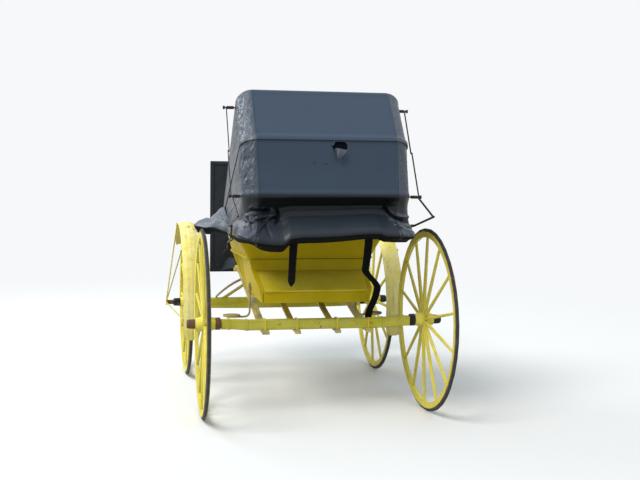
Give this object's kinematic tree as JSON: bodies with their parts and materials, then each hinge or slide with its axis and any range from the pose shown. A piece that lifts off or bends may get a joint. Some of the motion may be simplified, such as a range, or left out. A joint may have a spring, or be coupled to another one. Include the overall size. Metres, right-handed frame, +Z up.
{
  "type": "hooded buggy",
  "caption": "Two-seat horse buggy with a half-folded leather hood, a boot with a sloping lid, spoked wooden wheels, front mudguards, an arched front spring and a tall dash.",
  "frame": {"origin": "on the ground, midway between the front and rear edges of the wheels and midway between the sides", "axes": "+Z up, +Y forward towards the dash, +X to the buggy's right"},
  "size_m": [1.7406, 2.4376, 2.0235],
  "materials": {
    "wheel_paint": "worn yellow paint",
    "body_paint": "worn yellow paint",
    "gear_paint": "worn yellow paint",
    "gear_iron": "worn yellow paint",
    "guard_paint": "pale paint with dirt",
    "leather": "worn black leather",
    "rubber": "dull",
    "slat_wood": "bare weathered wood",
    "bow_wood": "black paint",
    "iron": "rusty black iron"
  },
  "bodies": {
    "carriage": {"body_box": "body_paint", "seat_panels": "body_paint", "seat_cushion": "leather", "seat_back": "leather", "dash": "leather", "lamp_ring_left": "iron", "lamp_ring_right": "iron", "step_left": "gear_iron", "step_right": "gear_iron", "rear_axle_bed": "gear_paint", "rear_axle_iron": "iron", "slat_1": "slat_wood", "slat_2": "slat_wood", "slat_3": "slat_wood", "slat_4": "slat_wood", "rear_clip_1": "gear_iron", "rear_clip_2": "gear_iron", "rear_clip_3": "gear_iron", "rear_clip_4": "gear_iron", "head_block": "gear_paint", "hood_pivot_left": "iron", "hood_pivot_right": "iron"},
    "boot_lid": {"boot_lid": "body_paint"},
    "steering": {"front_axle_bed": "gear_paint", "front_axle_iron": "iron", "front_spring": "iron", "turning_plate": "iron", "mudguard_left": "guard_paint", "mudguard_right": "guard_paint", "mudguard_stay_left": "gear_iron", "mudguard_stay_right": "gear_iron"},
    "hood_rear": {"hood_bow_rear": "bow_wood", "hood_apron": "leather", "strap_left": "leather", "strap_right": "leather"},
    "hood_middle": {"hood_bow_middle": "bow_wood", "hood_leather_lower": "leather"},
    "hood_front": {"hood_bow_front": "bow_wood", "hood_leather_upper": "leather"},
    "rear_left_wheel": {"rear_left_wheel": "wheel_paint", "rear_left_tyre": "rubber", "rear_left_axle_box": "iron"},
    "rear_right_wheel": {"rear_right_wheel": "wheel_paint", "rear_right_tyre": "rubber", "rear_right_axle_box": "iron"},
    "front_left_wheel": {"front_left_wheel": "wheel_paint", "front_left_tyre": "rubber", "front_left_axle_box": "iron"},
    "front_right_wheel": {"front_right_wheel": "wheel_paint", "front_right_tyre": "rubber", "front_right_axle_box": "iron"},
    "upper_iron_front_left": {"upper_iron_front_left": "iron"},
    "upper_iron_front_right": {"upper_iron_front_right": "iron"},
    "upper_iron_rear_left": {"upper_iron_rear_left": "iron"},
    "upper_iron_rear_right": {"upper_iron_rear_right": "iron"},
    "lower_iron_rear_left": {"lower_iron_rear_left": "iron"},
    "lower_iron_rear_right": {"lower_iron_rear_right": "iron"},
    "lower_iron_front_left": {"lower_iron_front_left": "iron"},
    "lower_iron_front_right": {"lower_iron_front_right": "iron"}
  },
  "joints": [
    {"name": "rear_left_wheel_spin", "type": "hinge", "parent": "carriage", "child": "rear_left_wheel", "pos_m": [-0.72, -0.6346, 0.5842], "axis": [-0.9998, 0.02, 0], "continuous": true},
    {"name": "rear_right_wheel_spin", "type": "hinge", "parent": "carriage", "child": "rear_right_wheel", "pos_m": [0.72, -0.6346, 0.5842], "axis": [0.9998, 0.02, 0], "continuous": true},
    {"name": "front_left_wheel_spin", "type": "hinge", "parent": "steering", "child": "front_left_wheel", "pos_m": [-0.72, 0.6854, 0.5334], "axis": [-1, 0, 0], "continuous": true},
    {"name": "front_right_wheel_spin", "type": "hinge", "parent": "steering", "child": "front_right_wheel", "pos_m": [0.72, 0.6854, 0.5334], "axis": [1, 0, 0], "continuous": true},
    {"name": "steer", "type": "hinge", "parent": "carriage", "child": "steering", "pos_m": [0, 0.6854, 0.7596], "axis": [0, 0, 1], "range_deg": [-20, 20]},
    {"name": "boot_lid_hinge", "type": "hinge", "parent": "carriage", "child": "boot_lid", "pos_m": [0, -0.39471, 0.86822], "axis": [-1, 0, 0], "range_deg": [0, 50]},
    {"name": "hood_raise", "type": "hinge", "parent": "carriage", "child": "hood_rear", "pos_m": [0, 0.1654, 1.14], "axis": [-1, 0, 0], "range_deg": [0, 30], "deforming": ["hood_apron", "strap_left", "strap_right"]},
    {"name": "hood_fold", "type": "hinge", "parent": "hood_rear", "child": "hood_front", "pos_m": [0, 0.1654, 1.14], "axis": [1, 0, 0], "range_deg": [0, 28], "deforming": ["hood_leather_upper", "hood_leather_lower"]},
    {"name": "hood_fold_middle", "type": "hinge", "parent": "hood_rear", "child": "hood_middle", "pos_m": [0, 0.1654, 1.14], "axis": [1, 0, 0], "range_deg": [0, 14]},
    {"name": "upper_front_knob_left", "type": "hinge", "parent": "hood_front", "child": "upper_iron_front_left", "pos_m": [-0.569, -0.55887, 1.91397], "axis": [1, 0, 0], "range_deg": [-102.39, 0]},
    {"name": "upper_rear_knob_left", "type": "hinge", "parent": "hood_rear", "child": "upper_iron_rear_left", "pos_m": [-0.5755, -0.88734, 1.38111], "axis": [1, 0, 0], "range_deg": [0, 85.67]},
    {"name": "lower_knob_left", "type": "hinge", "parent": "hood_rear", "child": "lower_iron_rear_left", "pos_m": [-0.569, -0.88734, 1.38111], "axis": [-1, 0, 0], "range_deg": [-71.28, 0]},
    {"name": "prop_left", "type": "hinge", "parent": "carriage", "child": "lower_iron_front_left", "pos_m": [-0.5755, -0.8046, 1.2], "axis": [-1, 0, 0], "range_deg": [0, 80.67]},
    {"name": "upper_front_knob_right", "type": "hinge", "parent": "hood_front", "child": "upper_iron_front_right", "pos_m": [0.569, -0.55887, 1.91397], "axis": [1, 0, 0], "range_deg": [-102.39, 0]},
    {"name": "upper_rear_knob_right", "type": "hinge", "parent": "hood_rear", "child": "upper_iron_rear_right", "pos_m": [0.5755, -0.88734, 1.38111], "axis": [1, 0, 0], "range_deg": [0, 85.67]},
    {"name": "lower_knob_right", "type": "hinge", "parent": "hood_rear", "child": "lower_iron_rear_right", "pos_m": [0.569, -0.88734, 1.38111], "axis": [-1, 0, 0], "range_deg": [-71.28, 0]},
    {"name": "prop_right", "type": "hinge", "parent": "carriage", "child": "lower_iron_front_right", "pos_m": [0.5755, -0.8046, 1.2], "axis": [-1, 0, 0], "range_deg": [0, 80.67]}
  ],
  "couplings": [
    {"joint": "hood_fold_middle", "follows": "hood_fold", "ratio": 0.493},
    {"joint": "upper_front_knob_left", "follows": "hood_fold", "ratio": -3.6389},
    {"joint": "upper_rear_knob_left", "follows": "hood_fold", "ratio": 3.0417},
    {"joint": "lower_knob_left", "follows": "hood_raise", "ratio": -2.3593},
    {"joint": "prop_left", "follows": "hood_raise", "ratio": 2.6722},
    {"joint": "upper_front_knob_right", "follows": "hood_fold", "ratio": -3.6389},
    {"joint": "upper_rear_knob_right", "follows": "hood_fold", "ratio": 3.0417},
    {"joint": "lower_knob_right", "follows": "hood_raise", "ratio": -2.3593},
    {"joint": "prop_right", "follows": "hood_raise", "ratio": 2.6722}
  ]
}
